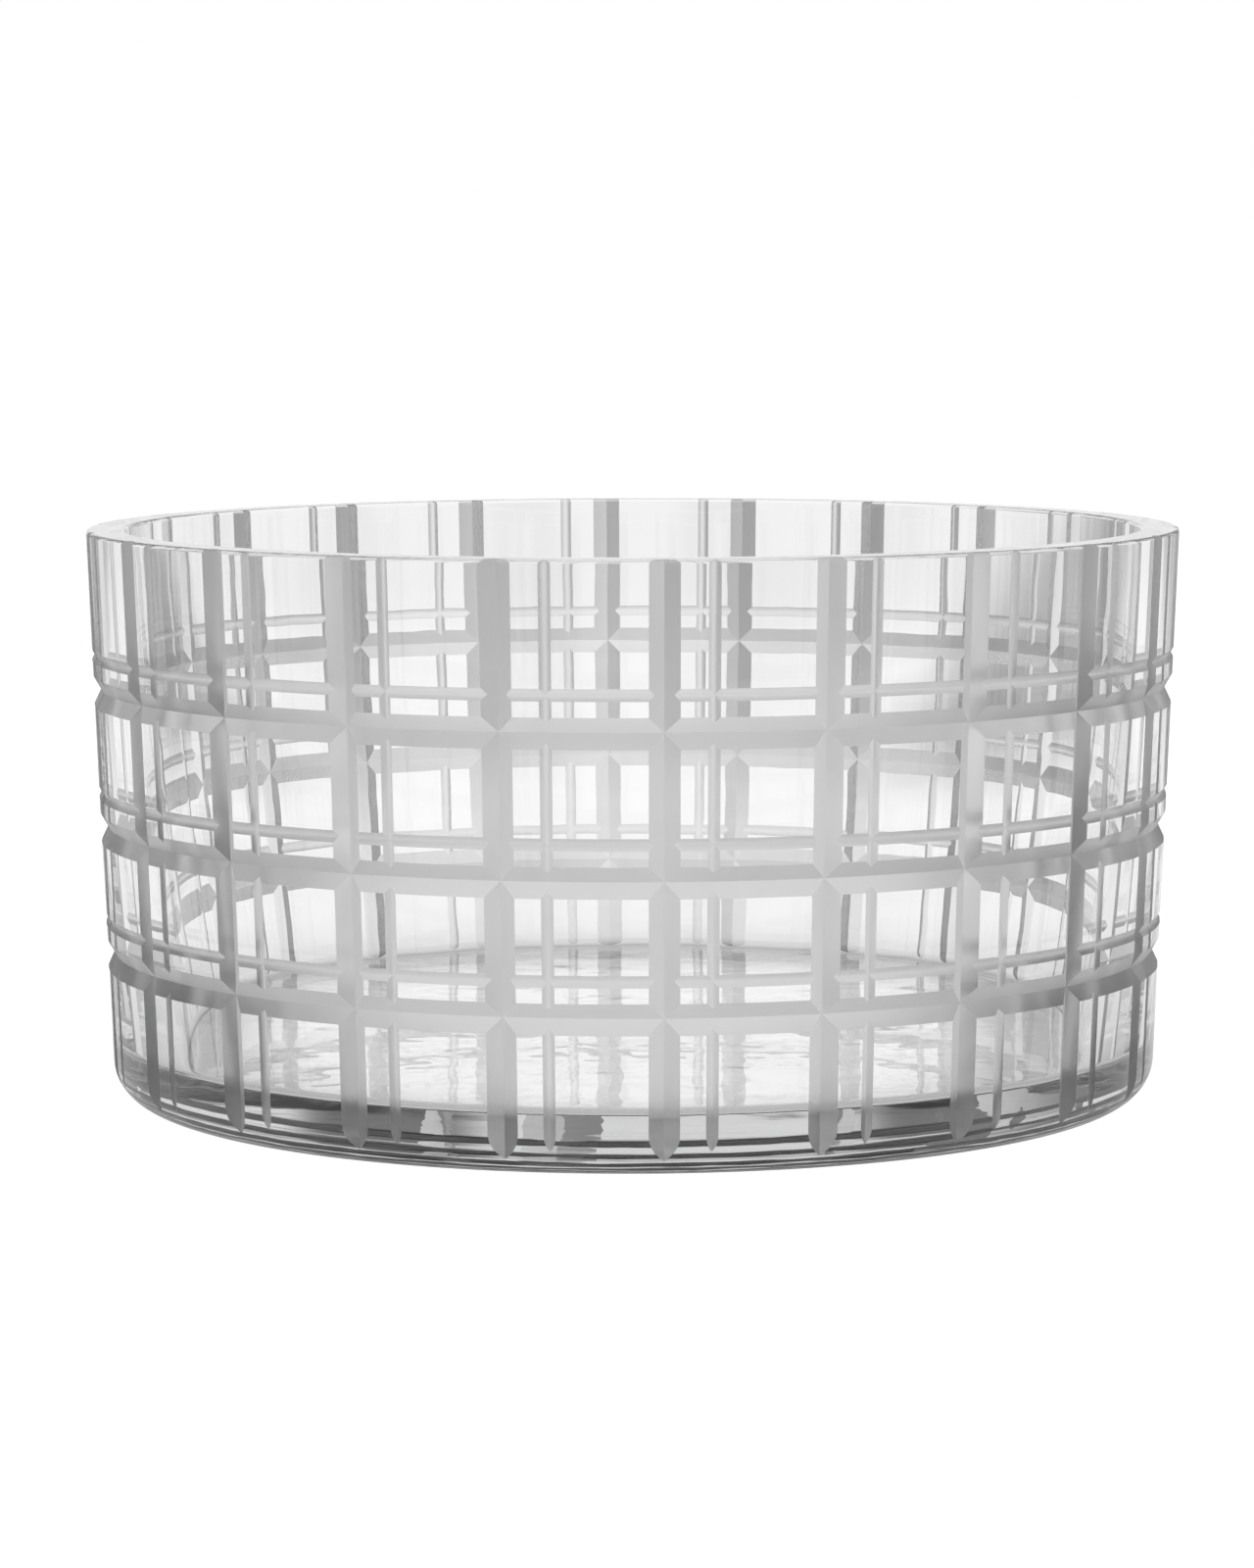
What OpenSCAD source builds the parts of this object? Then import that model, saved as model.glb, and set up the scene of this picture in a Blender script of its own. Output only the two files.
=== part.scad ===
// A nearly cylindrical bowl of thick clear crystal. V-shaped cuts cross on its outside in a plaid:
// upright cuts, each wide one with a narrow one beside it, and rings, each with a narrow one above it.
// Millimetres, +Z up. The origin is the middle of the flat underside.
// A wide upright cut lies on the -Y side, and its narrow neighbour lies a little towards +X.

/* [Bowl] */
// Outer diameter at the rim
rim_diameter = 254; // [200:1:320]
// Height from the underside to the rim
bowl_height = 133; // [120:1:170]
// How much smaller the outer radius is at the foot than at the rim
wall_taper = 5.5; // [1:0.1:12]
// Radius of the rounded lower edge
foot_radius = 10; // [6:0.1:16]

/* [Glass] */
// Thickness of the wall at the rim
rim_thickness = 9; // [7:0.1:14]
// Thickness of the wall at the foot, where the hollow's side would meet its floor
foot_thickness = 14.2; // [9:0.1:20]
// Thickness of the floor
floor_thickness = 12.5; // [6:0.1:18]
// Radius of the hollow's side, which bows so that the wall thickens towards the foot
hollow_bow_radius = 1150; // [500:10:3000]
// Radius of the lower edge of the hollow
hollow_radius = 2.5; // [2:0.1:14]
// Radius of the two polished edges of the rim
rim_rounding = 0.9; // [0.4:0.1:3]

/* [Upright cuts] */
// Number of wide upright cuts, and of narrow ones
upright_count = 22; // [12:1:30]
// Distance round the rim from a wide upright cut to its narrow neighbour
upright_pair_gap = 10.7; // [7:0.1:12]

/* [Ring cuts] */
// Distance from the rim down to the top wide ring
top_ring_drop = 36.9; // [20:0.1:45]
// Distance from the top wide ring down to the middle one
middle_ring_step = 31.9; // [16:0.1:35]
// Distance from the middle wide ring down to the lowest one
low_ring_step = 29.4; // [16:0.1:32]
// Distance from each wide ring up to the narrow one above it
ring_pair_gap = 8.2; // [6:0.1:12]

/* [Section of the cuts] */
// Width of a wide cut on the surface
wide_width = 6.9; // [4:0.1:8]
// Width of a narrow cut on the surface
narrow_width = 2.7; // [1:0.1:4]
// Angle between the two faces of a cut, in degrees
cut_angle = 125; // [110:1:150]

/* [Hidden] */
$fn = 176;

// How far a cutting shape runs on past the glass
overrun = 0.5;

// Facets of the long arc in the hollow's side, enough for a smooth face
bow_facets = 1440;

// Lean of the outer face of the wall from upright
wall_lean = atan(wall_taper / bowl_height);

// Heights of the three wide rings
top_ring_height = bowl_height - top_ring_drop;
middle_ring_height = top_ring_height - middle_ring_step;
low_ring_height = middle_ring_height - low_ring_step;
wide_ring_heights = [top_ring_height, middle_ring_height, low_ring_height];

// Turn from one wide upright cut to the next, and from each to its narrow neighbour
upright_step = 360 / upright_count;
upright_pair_turn = upright_pair_gap / (rim_diameter / 2) * 180 / PI;

// Radius of the outer face at a height, if no edge were rounded
function outer_radius(height) = rim_diameter / 2 - wall_taper * (1 - height / bowl_height);

// Depth of a V-shaped cut that is this wide on the surface
function cut_depth(width) = width / 2 / tan(cut_angle / 2);

// The hollow's side is an arc through two points: the inner edge of the rim and the hollow's corner
hollow_rim_point = [rim_diameter / 2 - rim_thickness, bowl_height];
hollow_foot_point = [outer_radius(floor_thickness) - foot_thickness, floor_thickness];
hollow_chord = hollow_rim_point - hollow_foot_point;
hollow_bow_offset = sqrt(pow(hollow_bow_radius, 2) - pow(norm(hollow_chord) / 2, 2));
hollow_bow_centre = (hollow_rim_point + hollow_foot_point) / 2
    + [-hollow_chord.y, hollow_chord.x] / norm(hollow_chord) * hollow_bow_offset;

// Centre of a circle that touches the hollow's side, at a height and a distance from the bow's centre
function beside_hollow(height, distance) = [
    hollow_bow_centre.x + sqrt(pow(distance, 2) - pow(height - hollow_bow_centre.y, 2)),
    height
];

// Where such a circle touches the hollow's side
function touch_point(centre) =
    hollow_bow_centre + (centre - hollow_bow_centre) * hollow_bow_radius / norm(centre - hollow_bow_centre);

hollow_edge_centre =
    beside_hollow(floor_thickness + hollow_radius, hollow_bow_radius - hollow_radius);
hollow_edge_touch = touch_point(hollow_edge_centre);

rim_centre_height = bowl_height - rim_rounding;
rim_inner_centre = beside_hollow(rim_centre_height, hollow_bow_radius + rim_rounding);
rim_inner_touch = touch_point(rim_inner_centre);

// Half section of the outside: a leaning side with a rounded foot and a rounded rim
module outside_section() {
    foot_centre = outer_radius(foot_radius) - foot_radius / cos(wall_lean);
    rim_centre = outer_radius(rim_centre_height) - rim_rounding / cos(wall_lean);
    polygon([
        [0, 0],
        [foot_centre, 0],
        [foot_centre + foot_radius * cos(wall_lean), foot_radius - foot_radius * sin(wall_lean)],
        [rim_centre + rim_rounding * cos(wall_lean),
            rim_centre_height - rim_rounding * sin(wall_lean)],
        [rim_centre, bowl_height],
        [0, bowl_height]
    ]);
    translate([foot_centre, foot_radius]) circle(foot_radius);
    translate([rim_centre, rim_centre_height]) circle(rim_rounding);
}

// Half section of the hollow, open at the top, with a rounded lower edge
module hollow_section() {
    top = bowl_height + overrun;
    polygon([
        [0, floor_thickness],
        [hollow_edge_centre.x, floor_thickness],
        hollow_edge_touch,
        [0, hollow_edge_touch.y]
    ]);
    translate(hollow_edge_centre) circle(hollow_radius);
    intersection() {
        translate([0, hollow_edge_touch.y]) square([rim_diameter / 2, top - hollow_edge_touch.y]);
        translate(hollow_bow_centre) circle(hollow_bow_radius, $fn = bow_facets);
    }
}

// What is taken off the rim's inner edge to round it
module rim_inner_corner_section() {
    top = bowl_height + overrun;
    difference() {
        polygon([
            [rim_inner_centre.x, rim_centre_height],
            [rim_inner_centre.x, top],
            [hollow_rim_point.x - overrun, top],
            [hollow_rim_point.x - overrun, rim_inner_touch.y],
            rim_inner_touch
        ]);
        translate(rim_inner_centre) circle(rim_rounding);
    }
}

// The bowl before it is cut
module blank() {
    rotate_extrude()
        difference() {
            outside_section();
            hollow_section();
            rim_inner_corner_section();
        }
}

// Section of a cut, square to the surface at [0, 0], with its point inwards
module cut_section(width) {
    depth = cut_depth(width);
    mouth = width / 2 * (1 + overrun / depth);
    polygon([[-depth, 0], [overrun, -mouth], [overrun, mouth]]);
}

// A cut up the side, which runs out over the rounded foot and through the rim
module upright_cut(width, turn) {
    rotate([0, 0, turn - 90])
        translate([outer_radius(0), 0, 0])
            rotate([0, wall_lean, 0])
                translate([0, 0, -overrun])
                    linear_extrude(bowl_height / cos(wall_lean) + 2 * overrun)
                        cut_section(width);
}

// A cut round the side, square to the leaning wall
module ring_cut(width, height) {
    rotate_extrude()
        translate([outer_radius(height), height])
            rotate([0, 0, -wall_lean])
                cut_section(width);
}

// The blank with its rings cut
module ringed_blank() {
    difference() {
        blank();
        for (height = wide_ring_heights) {
            ring_cut(wide_width, height);
            ring_cut(narrow_width, height + ring_pair_gap);
        }
    }
}

module bowl() {
    color([0.87, 0.89, 0.9])
        difference() {
            ringed_blank();
            for (i = [0 : upright_count - 1]) {
                upright_cut(wide_width, i * upright_step);
                upright_cut(narrow_width, i * upright_step + upright_pair_turn);
            }
        }
}

bowl();
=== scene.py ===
"""A bowl of thick clear crystal, with V-shaped cuts that cross in a plaid, on a plain white floor. Metres."""

import math

import bpy
import numpy as np
from mathutils import Euler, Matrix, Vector


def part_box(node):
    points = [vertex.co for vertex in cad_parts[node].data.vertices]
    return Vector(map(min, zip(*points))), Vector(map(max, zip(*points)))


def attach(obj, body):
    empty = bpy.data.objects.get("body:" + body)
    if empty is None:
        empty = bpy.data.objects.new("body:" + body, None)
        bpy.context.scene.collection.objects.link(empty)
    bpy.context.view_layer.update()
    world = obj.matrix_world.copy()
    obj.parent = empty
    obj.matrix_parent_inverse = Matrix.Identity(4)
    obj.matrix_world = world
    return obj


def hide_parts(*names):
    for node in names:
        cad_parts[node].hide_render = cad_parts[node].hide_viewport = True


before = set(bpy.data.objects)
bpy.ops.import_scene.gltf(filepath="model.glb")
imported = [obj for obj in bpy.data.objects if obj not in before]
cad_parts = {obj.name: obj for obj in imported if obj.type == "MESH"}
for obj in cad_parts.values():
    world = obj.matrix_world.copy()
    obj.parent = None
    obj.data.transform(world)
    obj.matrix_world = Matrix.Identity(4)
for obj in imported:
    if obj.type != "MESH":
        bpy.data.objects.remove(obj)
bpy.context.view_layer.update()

# Bowl
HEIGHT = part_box("bowl")[1][2]
RIM_RADIUS = 0.127
WALL_TAPER = 0.0055
FOOT_RADIUS = 0.010

# Glass
RIM_THICKNESS = 0.009
FOOT_THICKNESS = 0.0142
FLOOR_THICKNESS = 0.0125
HOLLOW_BOW_RADIUS = 1.15
HOLLOW_RADIUS = 0.0025
RIM_ROUNDING = 0.0009

# Cuts
UPRIGHT_COUNT = 22
UPRIGHT_PAIR_GAP = 0.0107
TOP_RING_DROP = 0.0369
MIDDLE_RING_STEP = 0.0319
LOW_RING_STEP = 0.0294
RING_PAIR_GAP = 0.0082
WIDE_WIDTH = 0.0069
NARROW_WIDTH = 0.0027
CUT_ANGLE = math.radians(125)

# How much the shading rounds the bottom of a narrow cut, where 0 is a plain V
NARROW_ROUNDING = 0.7

# The pattern's first wide cut lies on the -Y side
FIRST_TURN = -math.pi / 2

# Faces across the two gaps between upright cuts, over each arc, and round the inside of each sector
SMALL_GAP_FACES = 2
LARGE_GAP_FACES = 7
FOOT_ARC_FACES = 12
BOW_FACES = 40
HOLLOW_EDGE_FACES = 12
RIM_ARC_FACES = 5
INSIDE_FACES = 9

# About how high a face is on the plain wall between two rings
STRETCH_FACE_HEIGHT = 0.005

# Depths at which the mesh has edges within a narrow cut, as shares of the cut's depth
NARROW_LEVEL_SHARES = (1 / 6, 1 / 2)

# Room for rounding errors between two depths that are the same, and the halvings that find a height
LEVEL_TOLERANCE = 1e-9
HALVINGS = 60

# How matte a face is
POLISHED = 0
CUT = 1

LEAN = math.atan(WALL_TAPER / HEIGHT)
SECTOR = 2 * math.pi / UPRIGHT_COUNT
UPRIGHT_PAIR_TURN = UPRIGHT_PAIR_GAP / RIM_RADIUS


def wall_radius(height):
    """Radius of the outer face at a height, if no edge were rounded."""
    return RIM_RADIUS - WALL_TAPER * (1 - height / HEIGHT)


def cut_depth(width):
    """Depth of a V-shaped cut, square to the wall."""
    return width / 2 / math.tan(CUT_ANGLE / 2)


def level_depth(width):
    """Depth of the bottom of a cut, measured straight towards the bowl's axis."""
    return cut_depth(width) / math.cos(LEAN)


# Centres of the arcs of the foot and of the rim's outer edge, and the heights where they meet the wall
FOOT_CENTRE = wall_radius(FOOT_RADIUS) - FOOT_RADIUS / math.cos(LEAN)
FOOT_TOP = FOOT_RADIUS * (1 - math.sin(LEAN))
RIM_CENTRE_HEIGHT = HEIGHT - RIM_ROUNDING
RIM_CENTRE = wall_radius(RIM_CENTRE_HEIGHT) - RIM_ROUNDING / math.cos(LEAN)
RIM_BOTTOM = RIM_CENTRE_HEIGHT - RIM_ROUNDING * math.sin(LEAN)

# The mesh has edges at these depths in every cut and rounded edge, so that each crossing falls on its corners
RIM_LEVEL = RIM_RADIUS - RIM_CENTRE
NARROW_LEVEL = level_depth(NARROW_WIDTH)
WIDE_LEVEL = level_depth(WIDE_WIDTH)
LEVELS = [
    0,
    *(share * NARROW_LEVEL for share in NARROW_LEVEL_SHARES),
    NARROW_LEVEL,
    RIM_LEVEL,
    (RIM_LEVEL + WIDE_LEVEL) / 2,
    WIDE_LEVEL,
]


def levels_to(deepest):
    """The levels from the surface down to a depth."""
    return [level for level in LEVELS if level <= deepest * (1 + LEVEL_TOLERANCE)]


def reach(radius, rise):
    """How far an arc reaches out from its centre, at a distance above or below it."""
    return math.sqrt(max(0, radius**2 - rise**2))


def rounded(height):
    """How far the rounded foot or rim lies inside the leaning face, at a height."""
    if height < FOOT_TOP:
        return wall_radius(height) - FOOT_CENTRE - reach(FOOT_RADIUS, height - FOOT_RADIUS)
    if height > RIM_BOTTOM:
        return wall_radius(height) - RIM_CENTRE - reach(RIM_ROUNDING, height - RIM_CENTRE_HEIGHT)
    return 0


def height_at_level(level, low, high):
    """Height between low and high at which the rounded edge lies this far inside the leaning face."""
    rising = rounded(high) > rounded(low)
    for _ in range(HALVINGS):
        middle = (low + high) / 2
        if (rounded(middle) > level) == rising:
            high = middle
        else:
            low = middle
    return (low + high) / 2


def foot_normal(height):
    """Normal (out, up) of the rounded foot."""
    rise = height - FOOT_RADIUS
    return reach(FOOT_RADIUS, rise) / FOOT_RADIUS, rise / FOOT_RADIUS


def rim_normal(height):
    """Normal (out, up) of the rounded outer edge of the rim."""
    rise = height - RIM_CENTRE_HEIGHT
    return reach(RIM_ROUNDING, rise) / RIM_ROUNDING, rise / RIM_ROUNDING


def wall_normal(_):
    """Normal (out, up) of the plain wall, which is the same at every height."""
    return math.cos(LEAN), -math.sin(LEAN)


def cut_tilt(width, level):
    """Tilt of a cut's face at a depth. A wide cut is a plain V, and a narrow one has a rounded bottom."""
    tilt = math.pi / 2 - CUT_ANGLE / 2
    if width == NARROW_WIDTH:
        tilt *= 1 - NARROW_ROUNDING * (level / level_depth(width)) ** 2
    return tilt


def ring_normal(side, tilt):
    """Normal (out, up) of the upper (1) or lower (-1) face of a ring cut, tilted this far from the wall's."""
    out, up = math.cos(tilt), -side * math.sin(tilt)
    return out * math.cos(LEAN) + up * math.sin(LEAN), up * math.cos(LEAN) - out * math.sin(LEAN)


def ring_face_normal(side, width, low, high):
    """Normal of the face of a ring cut between two (height, level) rows, as a function of the height."""
    def normal(height):
        level = low[1] if abs(height - low[0]) < abs(height - high[0]) else high[1]
        return ring_normal(side, cut_tilt(width, level))

    return normal


def ring_rows(height, width, side):
    """Rows (height, level) of the upper (1) or lower (-1) face of a ring cut, from its edge to its bottom."""
    rows = []
    for level in levels_to(level_depth(width)):
        inwards = level * math.cos(LEAN)
        along = side * width / 2 * (1 - inwards / cut_depth(width))
        rows.append((height + inwards * math.sin(LEAN) + along * math.cos(LEAN), level))
    return rows


def ring_cuts():
    """Height and width of each ring cut, from the lowest up."""
    top = HEIGHT - TOP_RING_DROP
    middle = top - MIDDLE_RING_STEP
    cuts = []
    for height in (middle - LOW_RING_STEP, middle, top):
        cuts += [(height, WIDE_WIDTH), (height + RING_PAIR_GAP, NARROW_WIDTH)]
    return cuts


class Rows:
    """Rows of the outside, from below: (height, level), and (normal, matte) of the face above each."""

    def __init__(self):
        self.places, self.faces = [], []

    def add(self, height, level, normal, matte=POLISHED):
        self.places.append((height, level))
        self.faces.append((normal, matte))

    def add_foot(self):
        """The rounded foot, evenly up to the deepest level, and then level by level."""
        deepest_row = height_at_level(WIDE_LEVEL, 0, FOOT_TOP)
        deepest_turn = math.acos(1 - deepest_row / FOOT_RADIUS)
        for i in range(FOOT_ARC_FACES):
            height = FOOT_RADIUS * (1 - math.cos(deepest_turn * i / FOOT_ARC_FACES))
            self.add(height, rounded(height), foot_normal)
        for level in reversed(LEVELS[1:]):
            self.add(height_at_level(level, 0, FOOT_TOP), level, foot_normal)

    def add_stretch(self, start, end):
        """The plain wall between two heights."""
        count = max(1, round((end - start) / STRETCH_FACE_HEIGHT))
        for i in range(count):
            self.add(start + (end - start) * i / count, 0, wall_normal)

    def add_ring_face(self, side, width, rows):
        for low, high in zip(rows, rows[1:]):
            self.add(*low, ring_face_normal(side, width, low, high), CUT)

    def add_rim(self):
        """The rounded outer edge of the rim, and the row at which its flat top starts."""
        self.add(RIM_BOTTOM, 0, rim_normal)
        for level in levels_to(RIM_LEVEL)[1:-1]:
            self.add(height_at_level(level, RIM_BOTTOM, HEIGHT), level, rim_normal)
        self.places.append((HEIGHT, RIM_LEVEL))


def outside_rows():
    made = Rows()
    made.add_foot()
    start = FOOT_TOP
    for height, width in ring_cuts():
        lower = ring_rows(height, width, -1)
        upper = ring_rows(height, width, 1)[::-1]
        made.add_stretch(start, lower[0][0])
        made.add_ring_face(-1, width, lower)
        made.add_ring_face(1, width, upper)
        start = upper[-1][0]
    made.add_stretch(start, RIM_BOTTOM)
    made.add_rim()
    return made


def turn_in_cut(centre, side, level, width):
    """Turn at which a face of an upright cut reaches a level, as a function of the height."""
    slope = 2 * level_depth(width) / width
    lead = math.atan(slope)
    steep = math.hypot(1, slope)

    def turn(height):
        radius = wall_radius(height)
        ratio = (radius - level_depth(width)) / (radius - level) / steep
        return centre + side * (math.acos(min(1, ratio)) - lead)

    return turn


def turn_between(before, after, share):
    """Turn at a share of the way from one column to another, as a function of the height."""
    return lambda height: before(height) * (1 - share) + after(height) * share


class Columns:
    """Columns of one sector: (turn at a height, level), and the cut face after each (centre, side, width)."""

    def __init__(self):
        self.places, self.faces = [], []

    def add(self, turn, level, face=None):
        self.places.append((turn, level))
        self.faces.append(face)

    def add_cut(self, centre, width):
        levels = levels_to(level_depth(width))
        for level in levels[:-1]:
            self.add(turn_in_cut(centre, -1, level, width), level, (centre, -1, width))
        for level in reversed(levels[1:]):
            self.add(turn_in_cut(centre, 1, level, width), level, (centre, 1, width))
        self.add(turn_in_cut(centre, 1, 0, width), 0)

    def add_gap(self, count, after):
        """The plain wall from the last cut to where the next one starts."""
        before = self.places[-1][0]
        for i in range(1, count):
            self.add(turn_between(before, after, i / count), 0)


def outside_columns():
    made = Columns()
    made.add_cut(0, WIDE_WIDTH)
    made.add_gap(SMALL_GAP_FACES, turn_in_cut(UPRIGHT_PAIR_TURN, -1, 0, NARROW_WIDTH))
    made.add_cut(UPRIGHT_PAIR_TURN, NARROW_WIDTH)
    made.add_gap(LARGE_GAP_FACES, turn_in_cut(SECTOR, -1, 0, WIDE_WIDTH))
    return made


def hollow_section():
    """Half section of the inside, from the rim to the floor: [(radius, height, normal out, normal up)]."""
    rim_point = Vector((RIM_RADIUS - RIM_THICKNESS, HEIGHT))
    foot_point = Vector((wall_radius(FLOOR_THICKNESS) - FOOT_THICKNESS, FLOOR_THICKNESS))
    chord = rim_point - foot_point
    offset = math.sqrt(HOLLOW_BOW_RADIUS**2 - (chord.length / 2) ** 2)
    bow = (rim_point + foot_point) / 2 + Vector((-chord.y, chord.x)).normalized() * offset

    def beside(height, distance):
        return Vector((bow.x + math.sqrt(distance**2 - (height - bow.y) ** 2), height))

    rim = beside(RIM_CENTRE_HEIGHT, HOLLOW_BOW_RADIUS + RIM_ROUNDING)
    edge = beside(FLOOR_THICKNESS + HOLLOW_RADIUS, HOLLOW_BOW_RADIUS - HOLLOW_RADIUS)
    rim_turn = math.atan2(bow.y - rim.y, bow.x - rim.x) % (2 * math.pi)
    bow_start = math.atan2(rim.y - bow.y, rim.x - bow.x)
    bow_end = math.atan2(edge.y - bow.y, edge.x - bow.x)
    points = []

    def arc(centre, radius, start, end, count, sign):
        for i in range(count):
            turn = start + (end - start) * i / count
            out, up = math.cos(turn), math.sin(turn)
            points.append((centre.x + radius * out, centre.y + radius * up, sign * out, sign * up))

    arc(rim, RIM_ROUNDING, math.pi / 2, rim_turn, RIM_ARC_FACES, 1)
    arc(bow, HOLLOW_BOW_RADIUS, bow_start, bow_end, BOW_FACES, -1)
    arc(edge, HOLLOW_RADIUS, bow_end, -math.pi / 2, HOLLOW_EDGE_FACES, -1)
    points.append((edge.x, FLOOR_THICKNESS, 0, 1))
    return points


class MeshParts:
    """Points, faces, corner normals and matte values of a mesh in the making."""

    def __init__(self):
        self.points, self.faces, self.normals, self.matte = [], [], [], []

    def point(self, radius, turn, height):
        turn += FIRST_TURN
        self.points.append((radius * math.cos(turn), radius * math.sin(turn), height))
        return len(self.points) - 1

    def face(self, corners, normals, matte=POLISHED):
        self.faces.append(corners)
        self.normals.extend(normals)
        self.matte.append(matte)

    def object(self, name, material):
        mesh = bpy.data.meshes.new(name)
        mesh.from_pydata(self.points, [], self.faces)
        mesh.materials.append(material)
        matte = mesh.attributes.new("matte", "FLOAT", "FACE")
        matte.data.foreach_set("value", self.matte)
        mesh.polygons.foreach_set("use_smooth", [True] * len(self.faces))
        mesh.normals_split_custom_set(self.normals)
        made = bpy.data.objects.new(name, mesh)
        bpy.context.collection.objects.link(made)
        return made


def turned(normal, turn):
    """A normal (out, up) of a half section as a vector, at a turn round the bowl."""
    turn += FIRST_TURN
    return normal[0] * math.cos(turn), normal[0] * math.sin(turn), normal[1]


def cut_face_normal(centre, side, tilt):
    """Normal of one face of an upright cut, tilted this far from the wall's."""
    turn = centre + FIRST_TURN
    out, along = math.cos(tilt), -side * math.sin(tilt)
    level_out, up = out * math.cos(LEAN), -out * math.sin(LEAN)
    return (
        level_out * math.cos(turn) - along * math.sin(turn),
        level_out * math.sin(turn) + along * math.cos(turn),
        up,
    )


class Outside:
    """The outside as a grid of rows and columns, in which each cell is a face of the wall or of a cut."""

    def __init__(self, parts):
        self.parts = parts
        self.rows, self.columns = outside_rows(), outside_columns()
        self.per_sector = len(self.columns.places)
        self.total = self.per_sector * UPRIGHT_COUNT
        shape = len(self.rows.places), self.total
        self.numbers, self.turns = np.zeros(shape, int), np.zeros(shape)

    def build(self):
        """Returns the point numbers and turns of the lowest and highest rows."""
        self.add_points()
        for i in range(len(self.rows.faces)):
            for j in range(self.total):
                self.add_cell(i, j)
        return (self.numbers[0], self.turns[0]), (self.numbers[-1], self.turns[-1])

    def add_points(self):
        for i, (height, row_level) in enumerate(self.rows.places):
            base = [turn(height) for turn, _ in self.columns.places]
            for j in range(self.total):
                sector, column = divmod(j, self.per_sector)
                turn = base[column] + SECTOR * sector
                level = max(row_level, self.columns.places[column][1])
                self.numbers[i, j] = self.parts.point(wall_radius(height) - level, turn, height)
                self.turns[i, j] = turn

    def add_cell(self, i, j):
        """A cell, with A and B as its lower corners, left and right, and D and C above them."""
        sector, column = divmod(j, self.per_sector)
        low, high = self.rows.places[i][1], self.rows.places[i + 1][1]
        left, right = self.columns.places[column][1], self.columns.places[(column + 1) % self.per_sector][1]
        cut = self.columns.faces[column]
        left_normal = right_normal = None
        if cut:
            centre, side, width = cut
            left_normal = cut_face_normal(centre + SECTOR * sector, side, cut_tilt(width, left))
            right_normal = cut_face_normal(centre + SECTOR * sector, side, cut_tilt(width, right))
        after = (j + 1) % self.total
        corners = {
            "A": (i, j, left_normal),
            "B": (i, after, right_normal),
            "C": (i + 1, after, right_normal),
            "D": (i + 1, j, left_normal),
        }
        for letters, in_cut in cell_faces(cut, low, high, left, right):
            self.add_face([corners[letter] for letter in letters], i, in_cut)

    def add_face(self, corners, i, in_cut):
        """A face of an upright cut, or else of the wall, ring cut or rounded edge that row i is part of."""
        numbers = [self.numbers[row, place] for row, place, _ in corners]
        if in_cut:
            self.parts.face(numbers, [cut_normal for _, _, cut_normal in corners], CUT)
            return
        row_normal, row_matte = self.rows.faces[i]
        normals = []
        for row, place, _ in corners:
            height, _ = self.rows.places[row]
            normals.append(turned(row_normal(height), self.turns[row, place]))
        self.parts.face(numbers, normals, row_matte)


def cell_faces(cut, low, high, left, right):
    """The corners of each face of a cell, and whether it lies in the upright cut, by the levels round it."""
    if not cut or low == high or {low, high} != {left, right}:
        return [("ABCD", bool(cut) and left + right > low + high)]
    if (low < high) == (left < right):
        return [("ABC", right > low), ("ACD", left > high)]
    return [("ABD", left > low), ("BCD", right > high)]


def build_inside(parts):
    """The rounded inner edge of the rim, the hollow's side and its floor. Returns its highest row."""
    section = hollow_section()
    total = INSIDE_FACES * UPRIGHT_COUNT
    turns = [2 * math.pi * j / total for j in range(total)]
    rows = [[parts.point(radius, turn, height) for turn in turns] for radius, height, _, _ in section]
    for i in range(len(rows) - 1):
        low, high = section[i + 1][2:], section[i][2:]
        for j in range(total):
            after = (j + 1) % total
            corners = [rows[i][j], rows[i][after], rows[i + 1][after], rows[i + 1][j]]
            normals = [turned(high, turns[j]), turned(high, turns[after])]
            normals += [turned(low, turns[after]), turned(low, turns[j])]
            parts.face(corners, normals)
    middle = parts.point(0, 0, FLOOR_THICKNESS)
    for j in range(total):
        parts.face([rows[-1][j], rows[-1][(j + 1) % total], middle], [(0, 0, 1)] * 3)
    return rows[0], turns


def by_turn(numbers, turns):
    """The points of a closed row as (turn, number), from the first one all the way round to it again."""
    full = 2 * math.pi
    points = sorted((turn % full, number) for number, turn in zip(numbers, turns))
    return points + [(points[0][0] + full, points[0][1])]


def build_rim_flat(parts, outer, inner):
    """The flat top of the rim, notched where the wide cuts run out through it."""
    outer_points, inner_points = by_turn(*outer), by_turn(*inner)
    steps = [(turn, False, number) for turn, number in outer_points[1:]]
    steps += [(turn, True, number) for turn, number in inner_points[1:]]
    outer_number, inner_number = outer_points[0][1], inner_points[0][1]
    for _, is_inner, number in sorted(steps):
        parts.face([outer_number, number, inner_number], [(0, 0, 1)] * 3)
        if is_inner:
            inner_number = number
        else:
            outer_number = number


def build_underside(parts, lowest):
    numbers, _ = lowest
    middle = parts.point(0, 0, 0)
    for j, number in enumerate(numbers):
        parts.face([number, middle, numbers[(j + 1) % len(numbers)]], [(0, 0, -1)] * 3)


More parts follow.
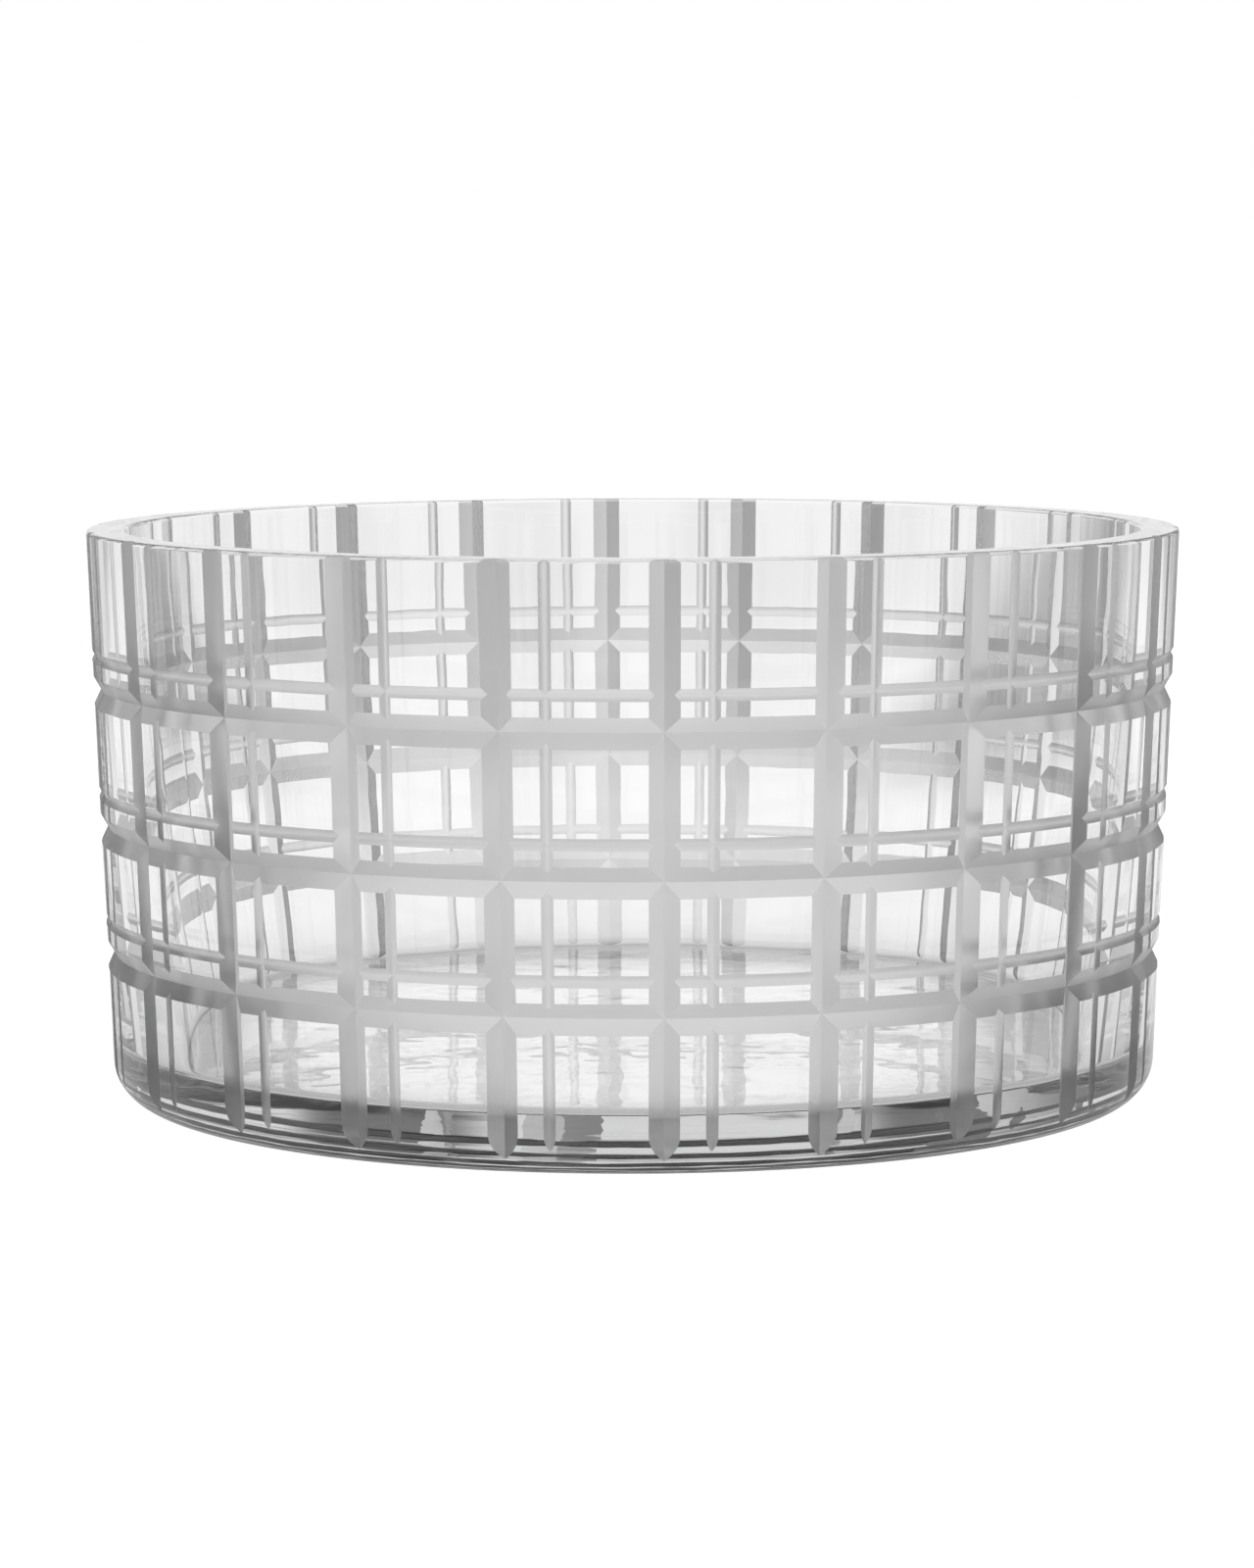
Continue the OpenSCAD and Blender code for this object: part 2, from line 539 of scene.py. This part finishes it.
class Nodes:
    """Short calls that add nodes to a node tree. An input is a value, or the output of another node."""

    def __init__(self, tree):
        self.nodes, self.links = tree.nodes, tree.links

    def feed(self, socket, source):
        if hasattr(source, "links"):
            self.links.new(source, socket)
        else:
            socket.default_value = source

    def add(self, kind, *sources, **named_sources):
        """A new node, whose inputs are given in order or by name."""
        node = self.nodes.new("ShaderNode" + kind)
        for socket, source in zip(node.inputs, sources):
            self.feed(socket, source)
        for name, source in named_sources.items():
            self.feed(node.inputs[name], source)
        return node

    def math(self, operation, *sources):
        node = self.add("Math", *sources)
        node.operation = operation
        return node.outputs["Value"]

    def length(self, vector):
        node = self.add("VectorMath", vector)
        node.operation = "LENGTH"
        return node.outputs["Value"]

    def smooth(self, value, start, end, low, high):
        """Goes softly from low to high while the value goes from start to end."""
        node = self.add("MapRange", value, start, end, low, high)
        node.interpolation_type = "SMOOTHSTEP"
        return node.outputs["Result"]

    def mix(self, share, first, second):
        return self.add("MixShader", share, first.outputs[0], second.outputs[0])


def grey(level):
    return level, level, level, 1


# How much the glass bends light
REFRACTION = 1.54

# Roughness of the matte faces of the cuts, and the share of light that they keep
MATTE_ROUGHNESS = 0.38
MATTE_TINT = 0.8

# Depth and size of the fine grain of the matte faces, and of the slow waves in the polished ones
GRAIN_DEPTH, GRAIN_SIZE = 0.00002, 0.0006
WAVE_DEPTH, WAVE_SIZE = 0.00003, 0.02
NOISE_DETAIL = 2

# The waves are deeper in the foot and the floor, up to the first of these heights, and fade by the second
FOOT_WAVE_DEPTH = 0.00018
FOOT_WAVES_TO, FOOT_WAVES_END = 0.013, 0.019

# Thick crystal is slightly grey: the colour that it turns light to, and how fast, per metre
DEPTH_COLOUR = (0.3, 0.31, 0.31, 1)
DEPTH_DENSITY = 2.5


def surface_height(made, matte):
    """Height of the waves and the grain above the glass's plain faces."""
    place = made.add("TexCoord").outputs["Object"]
    waves = made.add("TexNoise", Vector=place, Scale=1 / WAVE_SIZE, Detail=NOISE_DETAIL)
    grain = made.add("TexNoise", Vector=place, Scale=1 / GRAIN_SIZE, Detail=NOISE_DETAIL)
    height = made.add("SeparateXYZ", place).outputs["Z"]
    wave_depth = made.smooth(height, FOOT_WAVES_TO, FOOT_WAVES_END, FOOT_WAVE_DEPTH, WAVE_DEPTH)
    wave_height = made.math("MULTIPLY", waves.outputs["Fac"], wave_depth)
    grain_height = made.math("MULTIPLY", made.math("MULTIPLY", grain.outputs["Fac"], GRAIN_DEPTH), matte)
    return made.math("ADD", wave_height, grain_height)


def crystal_material():
    """Clear crystal, polished where the mesh's matte value is 0 and cut where it is 1."""
    material = bpy.data.materials.new("crystal")
    material.use_nodes = True
    made = Nodes(material.node_tree)
    attribute = made.add("Attribute")
    attribute.attribute_name = "matte"
    matte = attribute.outputs["Fac"]
    bump = made.add("Bump", Strength=1, Distance=1, Height=surface_height(made, matte))
    tint = made.math("SUBTRACT", 1, made.math("MULTIPLY", matte, 1 - MATTE_TINT))
    colour = made.add("CombineColor", tint, tint, tint)
    shader = made.nodes["Principled BSDF"]
    shader.inputs["IOR"].default_value = REFRACTION
    shader.inputs["Transmission Weight"].default_value = 1
    made.feed(shader.inputs["Base Color"], colour.outputs["Color"])
    made.feed(shader.inputs["Roughness"], made.math("MULTIPLY", matte, MATTE_ROUGHNESS))
    made.feed(shader.inputs["Normal"], bump.outputs["Normal"])
    dimming = made.add("VolumeAbsorption", Color=DEPTH_COLOUR, Density=DEPTH_DENSITY)
    made.feed(made.nodes["Material Output"].inputs["Volume"], dimming.outputs["Volume"])
    return material


def build_bowl():
    parts = MeshParts()
    lowest, highest = Outside(parts).build()
    inner = build_inside(parts)
    build_rim_flat(parts, highest, inner)
    build_underside(parts, lowest)
    bowl = parts.object("crystal_bowl", crystal_material())
    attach(bowl, "root")
    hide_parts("bowl")


# Light that the glass sees: white up to one height and dim from another, as sines of their angles
WHITE_TO = math.sin(math.radians(9))
DIM_FROM = math.sin(math.radians(22))
CEILING = 0.04

# Soft dark flags stand round the bowl, between the main views, and show as dark streaks in its sides. A wave
# goes from flag to flag, and a flag starts and is darkest where the wave's cosine falls to these two values
FLAG_COUNT = 8
FLAG_EDGE = math.cos(math.radians(92))
FLAG_CORE = math.cos(math.radians(144))
FLAG_LEVEL = 0.2

# Floor: half its width, and its gap to the bowl
FLOOR_REACH = 40
FLOOR_GAP = 0.0002

# Brightness of the floor that the glass sees, by distance from the middle: a painted shadow of the bowl,
# darkest under its foot's rounded edge, and painted shade that dims the floor further out; and where the
# painted shade of the flags fades in
PAINTED_FLOOR_SHADE = [
    (0.07, 1.0), (0.104, 0.5), (0.122, 0.35), (0.14, 0.6),
    (0.22, 0.78), (0.4, 0.82), (0.9, 0.78), (1.8, 0.7),
]
FLOOR_FLAGS_FROM, FLOOR_FLAGS_TO = 0.35, 0.7

# Light that the floor throws back, where the camera or the glass sees it and for all other light
FLOOR_BOUNCE = 0.2
FLOOR_COLOUR = 0.9


def flags(made, direction):
    """How dark the flags make a direction: 0 where there is none, and 1 in the middle of one."""
    parts = made.add("SeparateXYZ", direction)
    turn = made.math("ARCTAN2", parts.outputs["Y"], parts.outputs["X"])
    wave = made.math("COSINE", made.math("MULTIPLY", turn, FLAG_COUNT))
    return made.smooth(wave, FLAG_EDGE, FLAG_CORE, 0, 1)


def in_glass(made, path):
    """1 for what is seen in or through the glass, and 0 for all other light."""
    return made.math("MAXIMUM", path.outputs["Is Glossy Ray"], path.outputs["Is Transmission Ray"])


def floor_level_with_painted_shade(made):
    """Brightness of the floor that the glass sees, with the bowl's shadow and the flags' shade painted in."""
    place = made.add("TexCoord").outputs["Object"]
    away = made.length(place)
    level = PAINTED_FLOOR_SHADE[0][1]
    for (start, before), (end, after) in zip(PAINTED_FLOOR_SHADE, PAINTED_FLOOR_SHADE[1:]):
        level = made.math("ADD", level, made.smooth(away, start, end, 0, after - before))
    flag_share = made.smooth(away, FLOOR_FLAGS_FROM, FLOOR_FLAGS_TO, 0, 1 - FLAG_LEVEL)
    flag = made.math("MULTIPLY", flags(made, place), flag_share)
    return made.math("MULTIPLY", level, made.math("SUBTRACT", 1, flag))


def floor_material():
    """White for the camera, for the glass a glowing floor with painted shadow and shade, and a plain pale
    floor for all other light.
    """
    material = bpy.data.materials.new("floor")
    material.use_nodes = True
    made = Nodes(material.node_tree)
    path = made.add("LightPath")
    by_camera = path.outputs["Is Camera Ray"]
    # For the glass, the floor glows with its painted shadow and painted shade
    white = made.add("Emission", Strength=made.math("MAXIMUM", floor_level_with_painted_shade(made), by_camera))
    bounce = made.add("BsdfDiffuse", Color=grey(FLOOR_BOUNCE))
    lit = made.add("AddShader", white.outputs["Emission"], bounce.outputs["BSDF"])
    plain = made.add("BsdfDiffuse", Color=grey(FLOOR_COLOUR))
    mixed = made.mix(made.math("MAXIMUM", by_camera, in_glass(made, path)), plain, lit)
    made.feed(made.nodes["Material Output"].inputs["Surface"], mixed.outputs["Shader"])
    made.nodes.remove(made.nodes["Principled BSDF"])
    return material


def add_floor():
    mesh = bpy.data.meshes.new("floor")
    corners = [(x * FLOOR_REACH, y * FLOOR_REACH, 0) for x, y in ((-1, -1), (1, -1), (1, 1), (-1, 1))]
    mesh.from_pydata(corners, [], [(0, 1, 2, 3)])
    mesh.materials.append(floor_material())
    floor = bpy.data.objects.new("floor", mesh)
    bpy.context.collection.objects.link(floor)
    floor.location.z = -FLOOR_GAP


def add_world():
    """White for the camera and for light that falls on the bowl, and a studio for what its glass shows."""
    world = bpy.data.worlds.new("studio")
    bpy.context.scene.world = world
    world.use_nodes = True
    made = Nodes(world.node_tree)
    white = made.nodes["Background"]
    white.inputs["Color"].default_value = grey(1)
    white.inputs["Strength"].default_value = 1
    direction = made.add("TexCoord").outputs["Generated"]
    upwards = made.add("SeparateXYZ", direction).outputs["Z"]
    level = made.smooth(upwards, WHITE_TO, DIM_FROM, 1, CEILING)
    flag = made.math("MULTIPLY", flags(made, direction), 1 - FLAG_LEVEL)
    strength = made.math("MULTIPLY", level, made.math("SUBTRACT", 1, flag))
    room = made.add("Background", Color=grey(1), Strength=strength)
    mixed = made.mix(in_glass(made, made.add("LightPath")), white, room)
    made.feed(made.nodes["World Output"].inputs["Surface"], mixed.outputs["Shader"])


# Camera: the width of its film and its lens in millimetres, its place from the bowl's middle, and its aim
FILM_WIDTH = 36
LENS = 123.73
CAMERA_DISTANCE = 1.2558
CAMERA_HEIGHT = 0.20467
CAMERA_AZIMUTH = math.radians(-3.088)
CAMERA_PITCH = math.radians(6.014)
CAMERA_YAW = math.radians(0.0625)
CAMERA_ROLL = math.radians(-0.125)


def add_camera():
    data = bpy.data.cameras.new("camera")
    data.sensor_width = FILM_WIDTH
    data.lens = LENS
    camera = bpy.data.objects.new("camera", data)
    bpy.context.collection.objects.link(camera)
    sideways = CAMERA_DISTANCE * math.sin(CAMERA_AZIMUTH)
    forwards = CAMERA_DISTANCE * math.cos(CAMERA_AZIMUTH)
    camera.location = (sideways, -forwards, CAMERA_HEIGHT)
    aim = Euler((math.pi / 2 - CAMERA_PITCH, 0, CAMERA_AZIMUTH + CAMERA_YAW))
    roll = Euler((0, 0, CAMERA_ROLL))
    camera.rotation_euler = (aim.to_matrix() @ roll.to_matrix()).to_euler()
    bpy.context.scene.camera = camera


# How often light may pass through the glass's faces, and how often it may mirror
GLASS_BOUNCES = 32
MIRROR_BOUNCES = 16

bpy.context.scene.view_settings.view_transform = "Standard"
bpy.context.scene.cycles.max_bounces = GLASS_BOUNCES
bpy.context.scene.cycles.transmission_bounces = GLASS_BOUNCES
bpy.context.scene.cycles.glossy_bounces = MIRROR_BOUNCES
build_bowl()
add_floor()
add_world()
add_camera()
